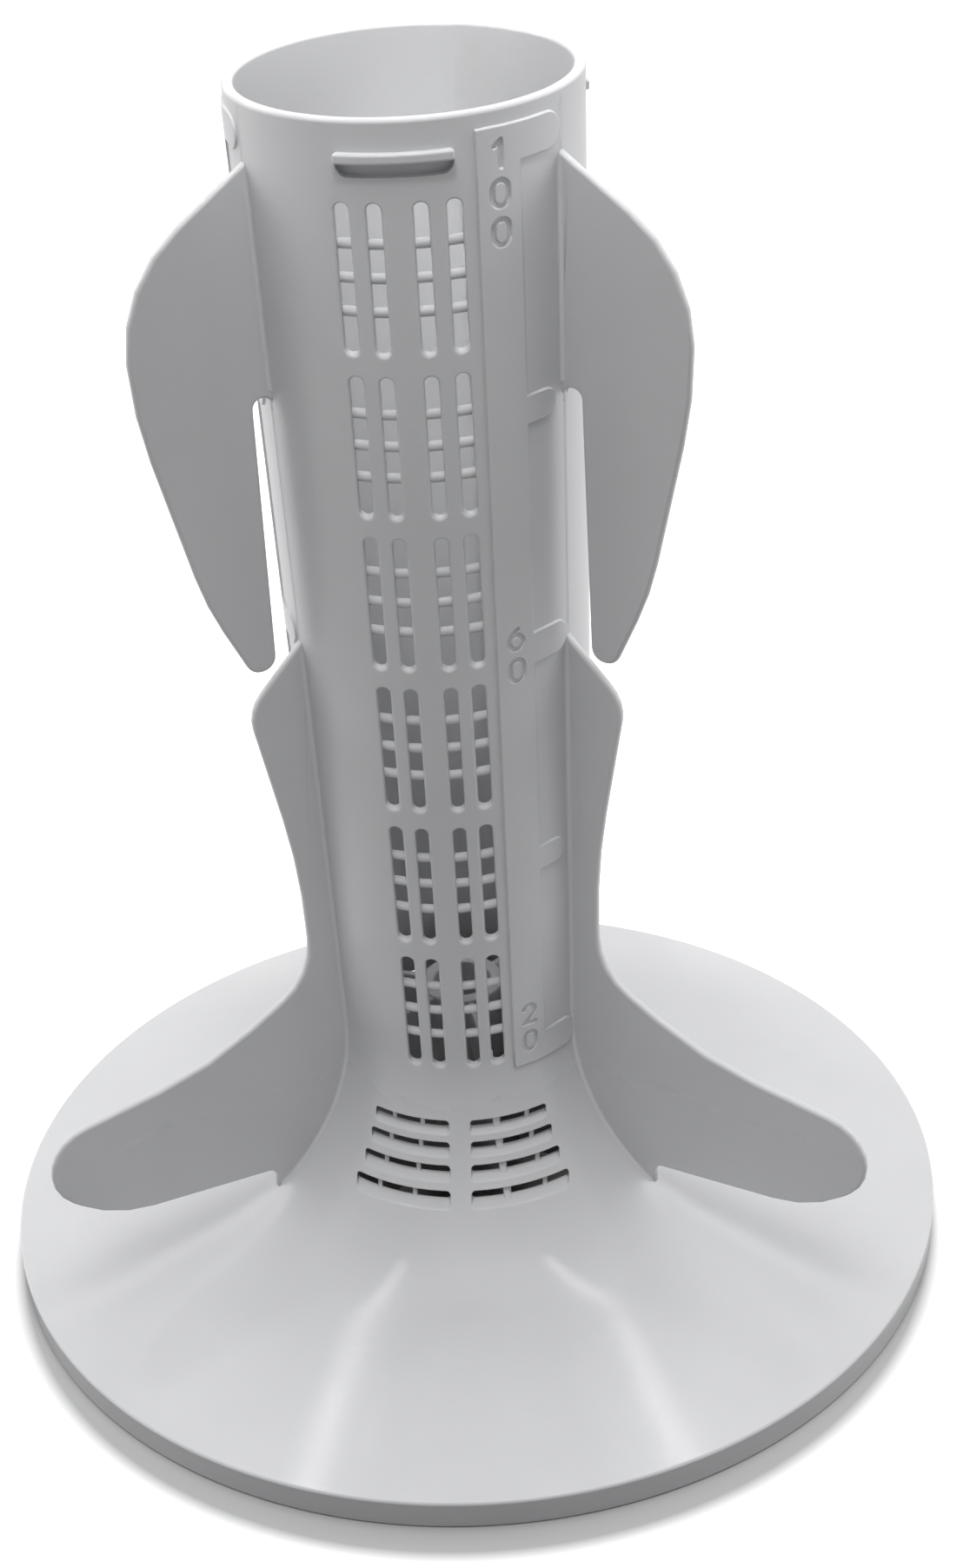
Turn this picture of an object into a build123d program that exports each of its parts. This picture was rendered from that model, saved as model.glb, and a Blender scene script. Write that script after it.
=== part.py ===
from build123d import *
from math import acos, asin, atan2, cos, hypot, pi, radians, sin, sqrt, tan
import os

# Washing machine agitator, moulded in one piece.
# Millimetres, +Z up, origin on the axis at the level of the bottom edge.
# Bearings are degrees round the axis: 0 is the front face, towards -Y, and 90 is towards +X.
# The part repeats three times: a face every 120 degrees, with a vane half way between faces.

# Whole part
overall_height = 432.0
base_diameter = 350.0
repeats = 3
vane_bearing = 60.0

# Column
column_top_diameter = 109.4
column_foot_diameter = 95.4
column_wall = 3.2
rim_rounding = 1.4
dispenser_seat_depth = 20.0

# Flared skirt
flare_start_height = 100.0
flare_radius = 75.0
band_height = 10.6
band_wall = 3.0
band_rounding = 1.2

# Slots up each face, in blocks of two pairs, as many as fit between the rim and the flare
slots_drop_from_rim = 24.5
slots_lowest_foot = 92.0
block_pitch = 53.3
slot_length = 46.2
slot_width = 4.4
slot_bearings = (-17.7, -7.3, 7.3, 17.7)
bars_per_slot = 3
bar_spacing = 10.4
bar_height = 2.0
bar_recess = 1.5

# Grille of level slots low on each face
grille_rows = 4
grille_top_row_height = 71.6
grille_pitch = 7.4
grille_opening = 4.0
grille_end_bearing = 35.5
grille_centre_post = 7.6
grille_rib_bearings = (14.8, 26.8)
grille_rib_width = 1.8
grille_rib_recess = 1.8

# Ledge under the rim on each face
ledge_height = 3.2
ledge_reach = 2.4
ledge_half_angle = 18.2
ledge_drop_from_rim = 11.0
ledge_bevel = 0.6

# Level strip, a raised panel with a rounded flag at each water level.
# The flags' places are shares of the way up from the lowest flag to the top one.
strip_relief = 0.6
strip_left_bearing = 25.1
strip_right_bearing = 40.4
strip_foot_height = 91.3
top_flag_drop_from_rim = 11.0
flag_places = (1.0, 0.744, 0.491, 0.242, 0.0)
long_flag_bearing = 52.0
short_flag_bearing = 49.0
long_flag_width = 11.0
short_flag_width = 9.0
flag_overlap_bearing = 1.0

# Both vanes
vane_thickness = 3.0
vane_edge_bevel = 0.9
vane_root_overlap = 1.6

# Upper vane, from its root under the rim down to its tip, which laps the root of the lower vane.
# Corners are (radius, share of the way up from tip to root), each with its rounding.
upper_root_drop_from_rim = 18.5
upper_tip_lap = 7.4
upper_shoulder = (98.0, 0.8257)
upper_shoulder_rounding = 46.0
upper_flank = (98.0, 0.5764)
upper_flank_rounding = 140.0
upper_tail = (82.0, 0.1672)
upper_tail_rounding = 110.0
upper_tip_radius = 68.9
upper_tip_rounding = 5.0
upper_inner_radius = 60.2
upper_slot = (59.3, 0.5584)
upper_slot_rounding = 3.2

# Lower vane. Corners are (radius, height), each with its rounding.
lower_root_height = 254.0
lower_nose_radius = 72.0
lower_nose_drop_from_root = 20.8
lower_nose_rounding = 14.0
lower_neck = (59.1, 165.0)
lower_neck_rounding = 250.0
lower_bend = (59.3, 123.3)
lower_bend_rounding = 24.0
lower_back = (101.0, 99.2)
lower_back_rounding = 110.0
lower_tail = (184.8, 85.3)
lower_tail_rounding = 17.3
lower_belly = (144.1, 48.7)
lower_belly_rounding = 45.0
lower_heel = (81.0, 44.3)
lower_heel_rounding = 3.0

# Hub, drive socket and the ribs that carry them
hub_diameter = 30.0
hub_top_height = 100.0
hub_bore = 21.0
socket_diameter = 38.0
socket_foot_height = 12.0
socket_bore = 25.4
socket_depth = 32.0
socket_top_wall = 8.0
socket_keys = 6
socket_key_width = 3.2
socket_key_depth = 1.6
bolt_hole = 8.4
bolt_web = 6.0
rib_count = 6
rib_bearing = grille_rib_bearings[0]
rib_thickness = 2.4
rib_drop_from_hub = 1.0
rib_foot_height = 26.0
rib_end_radius = 160.0
rib_end_height = 9.0

# Construction allowances: two larger than anything that they have to cross, and a closeness
reach = base_diameter
through = 12.0
touching = 0.03

# Share of a side of a vane's outline that its two roundings may take between them
side_in_use = 0.99

slots_top_height = overall_height - slots_drop_from_rim
block_bridge = block_pitch - slot_length
block_count = int((slots_top_height - slots_lowest_foot + block_bridge) / block_pitch)
lowest_flag_height = strip_foot_height + long_flag_width / 2
top_flag_height = overall_height - top_flag_drop_from_rim
upper_root_height = overall_height - upper_root_drop_from_rim
upper_tip_height = lower_root_height - upper_tip_lap
lower_nose_height = lower_root_height - lower_nose_drop_from_root

top_radius = column_top_diameter / 2
foot_radius = column_foot_diameter / 2
base_radius = base_diameter / 2
column_slope = (top_radius - foot_radius) / (overall_height - flare_start_height)
column_tilt = atan2(column_slope, 1.0)
flare_centre_r = foot_radius + flare_radius * cos(column_tilt)
flare_centre_z = flare_start_height - flare_radius * sin(column_tilt)


def skirt_angle():
    """Fall below level, in radians, of the straight run from the flare out to the band."""
    run = flare_centre_r - base_radius
    rise = flare_centre_z - band_height
    return pi - atan2(rise, run) - asin(flare_radius / hypot(run, rise))


def outer_radius(height):
    """Radius of the outside of the column or the flare at a height."""
    if height >= flare_start_height:
        return foot_radius + column_slope * (height - flare_start_height)
    fall = flare_centre_z - height
    return flare_centre_r - sqrt(flare_radius ** 2 - fall ** 2)


def turned(shape, bearing):
    """The shape turned about the axis, from the front face to another bearing."""
    return Rot(0, 0, bearing) * shape


def around(shape, count=repeats, first=0.0):
    """Copies of the shape, evenly spaced about the axis."""
    return [turned(shape, first + 360.0 * step / count) for step in range(count)]


def flare_point(angle, offset):
    """A point on the flare's arc, moved in by an offset. The angle is the slope below upright."""
    arc = flare_radius + offset
    return (flare_centre_r - arc * cos(angle), flare_centre_z - arc * sin(angle))


def skin_outline(offset, foot_r, top_z):
    """Line from the foot up the skirt, the flare and the column, at an offset inside the outside."""
    level = pi / 2 - skirt_angle()
    start = flare_point(-column_tilt, offset)
    middle = flare_point((level - column_tilt) / 2, offset)
    end = flare_point(level, offset)
    foot_z = end[1] - (foot_r - end[0]) * tan(skirt_angle())
    top_r = start[0] + column_slope * (top_z - start[1])
    run = Line((foot_r, foot_z), end)
    flare = ThreePointArc(end, middle, start)
    column = Line(start, (top_r, top_z))
    return run, flare, column


def skin():
    """The column, flare, skirt and band as one moulded wall."""
    seat_height = overall_height - dispenser_seat_depth
    outside = skin_outline(0.0, base_radius, overall_height)
    inside = skin_outline(column_wall, base_radius - band_wall, seat_height)
    outer_top = outside[2] @ 1
    inner_top = inside[2] @ 1
    rim = Polyline(outer_top, (inner_top.X, overall_height), inner_top)
    foot = Polyline(outside[0] @ 0, (base_radius, 0), (base_radius - band_wall, 0), inside[0] @ 0)
    section = make_face([*outside, *inside, *rim.edges(), *foot.edges()])
    section = fillet(section.vertices().group_by(Axis.Y)[-1], rim_rounding)
    shoulder = section.vertices().sort_by_distance((base_radius, band_height))[0]
    section = fillet(shoulder, band_rounding)
    return revolve(Plane.XZ * section, Axis.Z)


def slot_cutter(bearing, top):
    """One upright slot through the wall, round at both ends, less the bars that stay in its back."""
    middle = top - slot_length / 2
    radius = outer_radius(middle)
    side = radius * sin(radians(bearing))
    outline = Plane.XZ * Pos(side, middle) * SlotOverall(slot_length, slot_width, rotation=90)
    cutter = Pos(0, -radius - through / 2, 0) * extrude(outline, -2 * through)
    first = middle - bar_spacing * (bars_per_slot - 1) / 2
    return cutter - [slot_bar(side, first + step * bar_spacing) for step in range(bars_per_slot)]


def slot_bar(side, height):
    """A bar across a slot, set back from the outside of the wall."""
    front = -sqrt(outer_radius(height) ** 2 - side ** 2) + bar_recess
    return Pos(side, front, height) * Box(2 * slot_width, 2 * through, bar_height,
                                          align=(Align.CENTER, Align.MIN, Align.CENTER))


def face_slots():
    """Cutters for all the slots of the front face."""
    tops = [slots_top_height - row * block_pitch for row in range(block_count)]
    return [slot_cutter(bearing, top) for top in tops for bearing in slot_bearings]


def grille_cutter(height, side):
    """Half a row of the low grille, cut level through the flare, less the ribs in its back."""
    radius = outer_radius(height)
    near = grille_centre_post / 2
    far = radius * sin(radians(grille_end_bearing))
    outline = Plane.XZ * Pos(side * (near + far) / 2, height) * Rectangle(far - near, grille_opening)
    back = radius * cos(radians(grille_end_bearing)) - through
    cutter = extrude(Pos(0, -radius - through, 0) * outline, back - radius - through)
    ribs = [grille_rib(radius, side * bearing) for bearing in grille_rib_bearings]
    return cutter - [Pos(0, 0, height) * rib for rib in ribs]


def grille_rib(radius, bearing):
    """An upright rib across a grille row, set back from the outside of the wall."""
    side = radius * sin(radians(bearing))
    front = -radius * cos(radians(bearing)) + grille_rib_recess
    return Pos(side, front, 0) * Box(grille_rib_width, through, 2 * grille_opening,
                                     align=(Align.CENTER, Align.MIN, Align.CENTER))


def face_grille():
    """Cutters for the low grille of the front face."""
    heights = [grille_top_row_height - row * grille_pitch for row in range(grille_rows)]
    return [grille_cutter(height, side) for height in heights for side in (-1, 1)]


def sector(inner, outer, first, last, low, high):
    """Block between two radii, two bearings and two heights."""
    swept = Plane.XZ * Pos((inner + outer) / 2, (low + high) / 2) * Rectangle(outer - inner, high - low)
    return turned(revolve(swept, Axis.Z, last - first), first - 90.0)


def ledge():
    """The short ledge under the rim."""
    high = overall_height - ledge_drop_from_rim + ledge_height / 2
    low = high - ledge_height
    outer = outer_radius(low) + ledge_reach
    block = sector(outer - ledge_reach - column_wall / 2, outer, -ledge_half_angle, ledge_half_angle,
                   low, high)
    front = block.faces().sort_by(Axis.Y)[0]
    return chamfer(front.edges(), ledge_bevel)


def level_shell():
    """A thin cone over the column, as thick as the raised panel."""
    top = top_flag_height + long_flag_width / 2
    low = strip_foot_height
    points = [(outer_radius(low) - column_wall / 2, low), (outer_radius(low) + strip_relief, low),
              (outer_radius(top) + strip_relief, top), (outer_radius(top) - column_wall / 2, top)]
    return revolve(Plane.XZ * make_face(Polyline(*points, close=True)), Axis.Z)


def flag(height, bearing, width):
    """Block that cuts one flag of the panel: a band that ends in a half round."""
    band = sector(through, reach, strip_right_bearing - flag_overlap_bearing, bearing,
                  height - width / 2, height + width / 2)
    end = Plane.XZ * Pos(0, height) * Circle(width / 2)
    return band + turned(extrude(end, reach), bearing)


def level_strip():
    """The raised level panel of the front face."""
    top = top_flag_height + long_flag_width / 2
    stamp = sector(through, reach, strip_left_bearing, strip_right_bearing, strip_foot_height, top)
    for step, place in enumerate(flag_places):
        height = lowest_flag_height + place * (top_flag_height - lowest_flag_height)
        long = step % 2 == 0
        stamp += flag(height, long_flag_bearing if long else short_flag_bearing,
                      long_flag_width if long else short_flag_width)
    return level_shell() & stamp


def eased(corners, roundings):
    """The roundings of an open outline, each no larger than the sides beside it have room for."""
    points = [Vector(*corner) for corner in corners]
    sides = [after - before for before, after in zip(points, points[1:])]
    turns = [radians(before.get_angle(after)) for before, after in zip(sides, sides[1:])]
    takes = [0.0, *[rounding * tan(turn / 2) for rounding, turn in zip(roundings, turns)], 0.0]
    room = [min(1.0, side_in_use * side.length / (first + last))
            for side, first, last in zip(sides, takes, takes[1:])]
    return [rounding * min(pair) for rounding, pair in zip(roundings, zip(room, room[1:]))]


def upper_point(radius, share):
    """A corner of the upper vane."""
    return (radius, upper_tip_height + share * (upper_root_height - upper_tip_height))


def plate(edges_in_view, edges_in_wall):
    """Vane plate of an outline of radius and height, at the front, bevelled where it stands clear."""
    face = make_face([*edges_in_view, *edges_in_wall])
    slab = extrude(Plane.XZ * face, vane_thickness / 2, both=True)
    hidden = [Plane.XZ * Pos(edge @ 0.5) * Vertex(0, 0, 0) for edge in edges_in_wall]
    rims = slab.faces().filter_by(Axis.Y).edges()
    near = vane_thickness / 2 + touching
    clear = [rim for rim in rims if min(rim.distance_to(point) for point in hidden) > near]
    return turned(chamfer(clear, vane_edge_bevel), -90.0)


def upper_vane():
    """The leaf under the rim, whose tail hangs free of the column."""
    top_root = outer_radius(upper_root_height)
    slot_top = upper_point(*upper_slot)
    slot_root = outer_radius(slot_top[1])
    slot_foot = slot_top[1] - 1.5 * upper_slot_rounding
    corners = [
        (top_root, upper_root_height), upper_point(*upper_shoulder), upper_point(*upper_flank),
        upper_point(*upper_tail), (upper_tip_radius, upper_tip_height),
        (upper_inner_radius, upper_tip_height), slot_top, (slot_root, slot_top[1]), (slot_root, slot_foot)]
    roundings = [upper_shoulder_rounding, upper_flank_rounding, upper_tail_rounding, upper_tip_rounding,
                 upper_tip_rounding, upper_slot_rounding, upper_slot_rounding]
    edge = FilletPolyline(*corners, radius=eased(corners, roundings))
    back = Polyline(edge @ 1, (slot_root - vane_root_overlap, slot_foot),
                    (top_root - vane_root_overlap, upper_root_height), edge @ 0)
    return plate(edge.edges(), back.edges())


def lower_vane():
    """The lower leaf, with a nose, a neck and a tail that overhangs the skirt."""
    root = outer_radius(lower_root_height)
    heel_angle = acos((flare_centre_r - lower_heel[0]) / (flare_radius + vane_root_overlap))
    heel_foot = flare_point(heel_angle, vane_root_overlap)
    corners = [
        (root, lower_root_height), (lower_nose_radius, lower_nose_height), lower_neck, lower_bend,
        lower_back, lower_tail, lower_belly, lower_heel, heel_foot]
    roundings = [lower_nose_rounding, lower_neck_rounding, lower_bend_rounding, lower_back_rounding,
                 lower_tail_rounding, lower_belly_rounding, lower_heel_rounding]
    edge = FilletPolyline(*corners, radius=eased(corners, roundings))
    flare = ThreePointArc(heel_foot, flare_point((heel_angle - column_tilt) / 2, vane_root_overlap),
                          flare_point(-column_tilt, vane_root_overlap))
    back = Polyline(flare @ 1, (root - vane_root_overlap, lower_root_height), edge @ 0)
    return plate(edge.edges(), [*flare.edges(), *back.edges()])


def upright(diameter, low, high):
    """Round bar on the axis between two heights."""
    return Pos(0, 0, low) * Cylinder(diameter / 2, high - low, align=(Align.CENTER, Align.CENTER, Align.MIN))


def hub():
    """Tube for the retaining bolt over a keyed socket for the drive shaft."""
    socket_top = socket_foot_height + socket_depth
    web_top = socket_top + bolt_web
    tube = upright(hub_diameter, socket_foot_height, hub_top_height)
    tube += upright(socket_diameter, socket_foot_height, socket_top + socket_top_wall)
    tube -= upright(hub_bore, web_top, hub_top_height)
    tube -= upright(bolt_hole, socket_top, web_top)
    tube -= upright(socket_bore, socket_foot_height, socket_top)
    key = Pos(socket_bore / 2, 0, socket_foot_height) * Box(
        2 * socket_key_depth, socket_key_width, socket_depth, align=(Align.CENTER, Align.CENTER, Align.MIN))
    return tube + around(key, socket_keys)


def ribs():
    """Upright webs that run out from the hub under the column, flare and skirt."""
    middle = skin_outline(column_wall / 2, base_radius - band_wall, hub_top_height)
    end = middle[2] @ 1
    close = Polyline(end, (0, end.Y), (0, 0), (base_radius - band_wall, 0), middle[0] @ 0)
    under = revolve(Plane.XZ * make_face([*middle, *close.edges()]), Axis.Z)
    inner = (hub_diameter + hub_bore) / 4
    top = hub_top_height - rib_drop_from_hub
    outline = Polyline((inner, rib_foot_height), (inner, top), (rib_end_radius, top),
                       (rib_end_radius, rib_end_height), close=True)
    web = extrude(Plane.XZ * make_face(outline), rib_thickness / 2, both=True)
    return [copy & under for copy in around(web, rib_count, rib_bearing - 90.0)]


def agitator():
    """The whole moulding."""
    cutters = [copy for cutter in face_slots() + face_grille() for copy in around(cutter)]
    vanes = [turned(vane, vane_bearing) for vane in (upper_vane(), lower_vane())]
    body = skin() - cutters
    for shape in [ledge(), level_strip(), *vanes]:
        for copy in around(shape):
            body += copy
    return body + ribs() + hub()


os.makedirs("parts", exist_ok=True)
export_step(agitator(), "parts/agitator.step")
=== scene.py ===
from math import acos, asin, atan2, ceil, cos, degrees, hypot, pi, radians, sin, sqrt, tan
import bpy
from mathutils import Matrix, Vector
from mathutils.geometry import delaunay_2d_cdt


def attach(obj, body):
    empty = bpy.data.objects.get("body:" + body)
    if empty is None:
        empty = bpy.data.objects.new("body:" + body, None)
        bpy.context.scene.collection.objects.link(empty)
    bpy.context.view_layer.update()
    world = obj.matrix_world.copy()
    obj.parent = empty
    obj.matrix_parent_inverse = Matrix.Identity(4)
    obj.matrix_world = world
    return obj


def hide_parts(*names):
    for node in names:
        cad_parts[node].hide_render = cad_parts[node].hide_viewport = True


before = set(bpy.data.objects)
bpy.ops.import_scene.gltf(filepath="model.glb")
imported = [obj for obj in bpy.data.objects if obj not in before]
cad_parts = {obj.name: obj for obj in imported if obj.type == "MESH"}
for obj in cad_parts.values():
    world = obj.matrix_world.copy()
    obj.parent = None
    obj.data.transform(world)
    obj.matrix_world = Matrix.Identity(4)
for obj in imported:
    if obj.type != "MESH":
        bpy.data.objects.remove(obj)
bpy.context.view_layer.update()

# All sizes below are millimetres. Bearings are degrees round the axis, 0 at the front face (-Y).
MM = 0.001
FACES = 3

# Column, flare and skirt
HEIGHT = 432.0
TOP_RADIUS = 54.7
FOOT_RADIUS = 47.7
BASE_RADIUS = 175.0
WALL = 3.2
BAND_WALL = 3.0
BAND_HEIGHT = 10.6
BAND_ROUNDING = 1.2
FOOT_ROUNDING = 0.6
RIM_ROUNDING = 1.4
SEAT_DEPTH = 20.0
FLARE_START = 100.0
FLARE_RADIUS = 75.0
FACE_HALF = 60.0
SEAM_HALF = 0.45
SEAM_RELIEF = 0.35
SEAM_FADE = 4.0

# Mesh of the skin: the height where plain rows take over below the openings, the steps down the two
# sides of the wall, and the radius at which the wall is laid flat
ROWS_START = 39.0
OUTER_STEP = 3.8
INNER_STEP = 8.0
FLAT_RADIUS = 51.2

# Slots up each face
SLOT_BEARINGS = (-17.7, -7.3, 7.3, 17.7)
SLOT_TOP = 407.5
SLOT_PITCH = 53.3
SLOT_ROWS = 6
SLOT_LENGTH = 46.2
SLOT_WIDTH = 4.4
LIP = 0.8
LIP_FOOT = 0.6
BACK_EDGE = 0.25
BAR_SPACING = 10.4
BAR_HEIGHT = 3.2
BAR_RECESS = 1.1
BAR_BACK = WALL - 0.06

# Level grille low on each face
GRILLE_TOP = 71.6
GRILLE_PITCH = 7.4
GRILLE_ROWS = 4
GRILLE_OPENING = 4.0
GRILLE_CORNER = 1.3
GRILLE_END = 35.5
GRILLE_POST = 7.6
GRILLE_RIBS = (14.8, 26.8)
GRILLE_RIB_WIDTH = 1.8
GRILLE_RIB_RECESS = 2.3
GRILLE_LIP = 0.45
GRILLE_SILL = 0.8

# Ledge under the rim, and the pocket below it
LEDGE_LOW = 419.4
LEDGE_HEIGHT = 3.2
LEDGE_REACH = 2.4
LEDGE_HALF = 18.2
LEDGE_ROUNDING = 0.9
POCKET_HALF = 17.0
POCKET_HEIGHT = 4.2
POCKET_DEPTH = 2.6
POCKET_CORNER = 3.6
POCKET_EDGE = 0.3

# Level strip with its flags and numbers
STRIP_LEFT = 25.1
STRIP_RIGHT = 40.4
STRIP_RELIEF = 0.8
STRIP_EDGE = 0.4
STRIP_GROOVE = 0.35
FLAG_HEIGHTS = (421.0, 338.0, 256.0, 175.3, 96.8)
FLAG_LONG = (52.0, 11.0)
FLAG_SHORT = (49.0, 9.0)
NUMBER_HEIGHT = 9.3
NUMBER_WIDTH = 6.6
NUMBER_STROKE = 1.6
NUMBER_DEPTH = 0.9
NUMBER_PITCH = 11.6
NUMBERS = (("100", 418.6), ("60", 261.6), ("20", 112.5))

# Vanes. Their corners are (radius, height, rounding), from the top of the root outwards and down.
VANE_BEARING = 60.0
VANE_THICKNESS = 3.0
VANE_ROUNDING = 1.2
VANE_OVERLAP = 1.6
ROOT_FILLET = 1.5
FILLET_FADE = 2.5
UPPER_TOP = 413.5
UPPER_CORNERS = ((98.0, 384.4, 46.0), (98.0, 342.8, 140.0), (82.0, 274.5, 110.0), (68.9, 246.6, 5.0),
                 (60.2, 246.6, 5.0))
UPPER_GAP_RADIUS = 59.3
UPPER_GAP_TOP = 339.8
UPPER_GAP_ROUNDING = 3.2
UPPER_FILLET = (412.4, 341.5)
LOWER_TOP = 254.0
LOWER_CORNERS = ((72.0, 233.2, 14.0), (59.1, 165.0, 250.0), (59.3, 123.3, 24.0), (101.0, 99.2, 110.0),
                 (184.8, 85.3, 17.3), (144.1, 48.7, 45.0))
LOWER_HEEL = (81.0, 44.3, 3.0)
LOWER_FILLET_TOP = 252.9
LOWER_FILLET_RADIUS = 80.2

# Hub, socket and webs
HUB_RADIUS = 15.0
HUB_TOP = 100.0
HUB_BORE = 10.5
SOCKET_RADIUS = 19.0
SOCKET_FOOT = 12.0
SOCKET_BORE = 12.7
SOCKET_DEPTH = 32.0
SOCKET_WALL = 8.0
BOLT_HOLE = 4.2
BOLT_WEB = 6.0
KEYS = 6
KEY_WIDTH = 3.2
KEY_DEPTH = 1.6
WEBS = 6
WEB_BEARING = 14.8
WEB_THICKNESS = 2.4
WEB_REACH = 160.0
WEB_INNER_FOOT = 26.0
WEB_OUTER_FOOT = 9.0

# Plastic: the two shades of its mottling, and its roughness at two heights in metres
SHADES = ((0.3, (0.598, 0.600, 0.610, 1.0)), (0.7, (0.638, 0.640, 0.650, 1.0)))
GLOSS_HEIGHTS = (0.04, 0.11)
GLOSS_ROUGHNESS = (0.09, 0.36)

# Studio, in metres: the floor's grey for bounced light and for the view, its size and place, the ring in base
# radii over which the floor's glow rises from none to white, so that the grey seen inside it paints a shadow
# at the foot over the real one, and the level of the surroundings. The place sits a little forward, so this
# painted shadow lies mostly in front
FLOOR_BOUNCE = (0.26, 0.26, 0.26, 1.0)
FLOOR_SEEN = (0.45, 0.45, 0.45, 1.0)
FLOOR_SIZE = 12.0
FLOOR_PLACE = (0, -0.014, -0.0002)
PAINTED_SHADOW_RING = (0.98, 1.03)
WORLD_LEVEL = 0.16

# Lamps: name, place, target, size, level and spread. The pairs: name, side, place of the tube, its
# turn, and the levels of the back and side lamps
LAMPS = (("top_light", (0, 0, 2.4), (0, 0, 0), (1.3, 1.3), 0.34, 180),
         ("front_light", (0, -0.7, 2.2), (0, 0, 0.1), (1.0, 1.0), 0.30, 180),
         ("back_light", (-0.25, 1.2, 2.1), (0, 0, 0.1), (1.0, 1.0), 0.06, 180),
         ("mouth_light", (0, -0.28, 1.05), (0, 0.051, 0.415), (0.06, 0.06), 0.0125, 20),
         ("upper_light", (0, -1.0, 1.35), (0, 0, 0.36), (0.3, 0.3), 0.0028, 40))
LAMP_PAIRS = (("left", -1, (-0.66, 0.25), -8.2, 0.40, 0.17), ("right", 1, (0.57, 0.34), 11.5, 0.48, 0.12))
TUBE_HEIGHT = 2.2
TUBE_SIZE = (0.02, 1.4)
TUBE_LEVEL = 0.04

# Camera: the photograph's size, optical middle and focal length in pixels, and its place in metres
PHOTO_WIDTH = 1108
PHOTO_HEIGHT = 1804
MIDDLE = (535, 1000)
FOCAL_LENGTH = 2943.914
SENSOR = 36.0
CAMERA_PLACE = (0.0, -0.775118, 0.637682)
YAW, PITCH, ROLL, TURN = 0.0046, 0.5643, -0.0623, 0.0831

# Worked out from those. A run is a distance down the outside of the moulding, from the rim: first the
# column, then the flare's arc, then the skirt. TILT is the column's lean and FALL the skirt's slope.
SLOPE = (TOP_RADIUS - FOOT_RADIUS) / (HEIGHT - FLARE_START)
TILT = atan2(SLOPE, 1.0)
CENTRE_R = FOOT_RADIUS + FLARE_RADIUS * cos(TILT)
CENTRE_Z = FLARE_START - FLARE_RADIUS * sin(TILT)
RUN = CENTRE_R - BASE_RADIUS
RISE = CENTRE_Z - BAND_HEIGHT
FALL = pi - atan2(RISE, RUN) - asin(FLARE_RADIUS / hypot(RUN, RISE))
LEVEL = pi / 2 - FALL
COLUMN_RUN = (HEIGHT - FLARE_START) / cos(TILT)
FLARE_END = COLUMN_RUN + FLARE_RADIUS * (LEVEL + TILT)
SKIRT_START = (CENTRE_R - FLARE_RADIUS * cos(LEVEL), CENTRE_Z - FLARE_RADIUS * sin(LEVEL))
SKIRT_END = FLARE_END + (BASE_RADIUS - SKIRT_START[0]) / cos(FALL)
STRETCH = radians(1.0) * FLAT_RADIUS


def outline(run):
    """Radius, height and outward normal of the outside, at a run measured down from the rim."""
    if run <= COLUMN_RUN:
        return (TOP_RADIUS - run * sin(TILT), HEIGHT - run * cos(TILT), cos(TILT), -sin(TILT))
    if run <= FLARE_END:
        a = (run - COLUMN_RUN) / FLARE_RADIUS - TILT
        return (CENTRE_R - FLARE_RADIUS * cos(a), CENTRE_Z - FLARE_RADIUS * sin(a), cos(a), sin(a))
    past = run - FLARE_END
    return (SKIRT_START[0] + past * cos(FALL), SKIRT_START[1] - past * sin(FALL), sin(FALL), cos(FALL))


def run_at(z, depth=0.0):
    """The run at which the surface, at a depth below the outside, is at height z."""
    a = asin(max(-1.0, min(1.0, (CENTRE_Z - z) / (FLARE_RADIUS + depth))))
    if a <= -TILT:
        return (HEIGHT + depth * sin(TILT) - z) / cos(TILT)
    if a <= LEVEL:
        return COLUMN_RUN + FLARE_RADIUS * (a + TILT)
    return FLARE_END + (SKIRT_START[1] - depth * cos(FALL) - z) / sin(FALL)


def radius_at(z, depth=0.0):
    """Radius of the surface, at a depth below the outside, at height z."""
    r, _, nr, _ = outline(run_at(z, depth))
    return r - depth * nr


def around(bearing, radius, z):
    """A point at a bearing, radius and height, or the direction of such a point."""
    return Vector((radius * sin(bearing), -radius * cos(bearing), z))


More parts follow.
